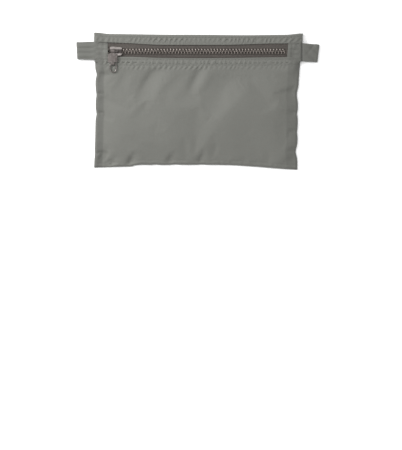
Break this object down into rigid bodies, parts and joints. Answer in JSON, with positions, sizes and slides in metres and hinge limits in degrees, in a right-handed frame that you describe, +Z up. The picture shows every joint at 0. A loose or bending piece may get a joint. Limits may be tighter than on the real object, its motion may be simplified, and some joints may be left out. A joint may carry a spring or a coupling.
{
  "type": "zip pouch",
  "caption": "Small flat cloth zip pouch for banknotes and coin, with a zipper along the top of its front, a pull with a wire ring and a folded tape loop at each side.",
  "frame": {"origin": "centre of the underside of the back, on the table that the pouch lies on", "axes": "+X along the zipper towards its bottom stop, +Y towards the folded top edge, +Z up out of the front"},
  "size_m": [0.2196, 0.12, 0.01],
  "materials": {
    "pouch_cloth": "plain-woven coated nylon, soft sheen",
    "binding_tape": "thin woven binding, matt",
    "loop_tape": "folded cloth tape with a fine cross rib",
    "zipper_tape": "knitted polyester tape with a twill face, matt",
    "zipper_teeth": "moulded resin, satin",
    "thread": "spun polyester thread",
    "slider_metal": "warm nickel plate, satin with bright edges",
    "pull_metal": "warm nickel plate, satin",
    "spring_steel": "plain spring steel"
  },
  "bodies": {
    "pouch": {"back_panel": "pouch_cloth", "front_panel": "pouch_cloth", "top_band": "pouch_cloth", "left_zip_end": "pouch_cloth", "right_zip_end": "pouch_cloth", "left_seam_binding": "binding_tape", "right_seam_binding": "binding_tape", "bottom_seam_binding": "binding_tape", "upper_tape": "zipper_tape", "upper_teeth": "zipper_teeth", "top_stops": "zipper_teeth", "bottom_stop": "zipper_teeth", "upper_stitching": "thread", "left_end_stitching": "thread", "right_end_stitching": "thread", "left_loop_tail": "loop_tape", "right_loop_tail": "loop_tape"},
    "lower_lip": {"lower_hem": "pouch_cloth", "lower_tape": "zipper_tape", "lower_teeth": "zipper_teeth", "lower_stitching": "thread"},
    "slider": {"slider_body": "slider_metal", "slider_crown": "slider_metal", "lock_spring": "spring_steel"},
    "pull": {"pull_tab": "pull_metal"},
    "ring": {"pull_ring": "pull_metal"},
    "left_loop_fold": {"left_loop": "loop_tape"},
    "right_loop_fold": {"right_loop": "loop_tape"}
  },
  "joints": [
    {"name": "slider_travel", "type": "slide", "parent": "pouch", "child": "slider", "axis": [1, 0, 0], "range_m": [0, 0.1496], "deforming": ["upper_teeth", "lower_teeth"]},
    {"name": "lip_drop", "type": "slide", "parent": "pouch", "child": "lower_lip", "axis": [0, -1, 0], "range_m": [0, 0.008]},
    {"name": "pull_lift", "type": "hinge", "parent": "slider", "child": "pull", "pos_m": [-0.0776, 0.045, 0.00715], "axis": [-1, 0, 0], "range_deg": [0, 155]},
    {"name": "ring_swing", "type": "hinge", "parent": "pull", "child": "ring", "pos_m": [-0.0776, 0.0333, 0.00565], "axis": [-1, 0, 0], "range_deg": [0, 100]},
    {"name": "left_loop_lift", "type": "hinge", "parent": "pouch", "child": "left_loop_fold", "pos_m": [-0.09445, 0.045, 0.00195], "axis": [0, 1, 0], "range_deg": [0, 90]},
    {"name": "right_loop_lift", "type": "hinge", "parent": "pouch", "child": "right_loop_fold", "pos_m": [0.09445, 0.045, 0.00195], "axis": [0, -1, 0], "range_deg": [0, 90]}
  ],
  "couplings": [
    {"joint": "lip_drop", "follows": "slider_travel", "ratio": 0.0534}
  ]
}
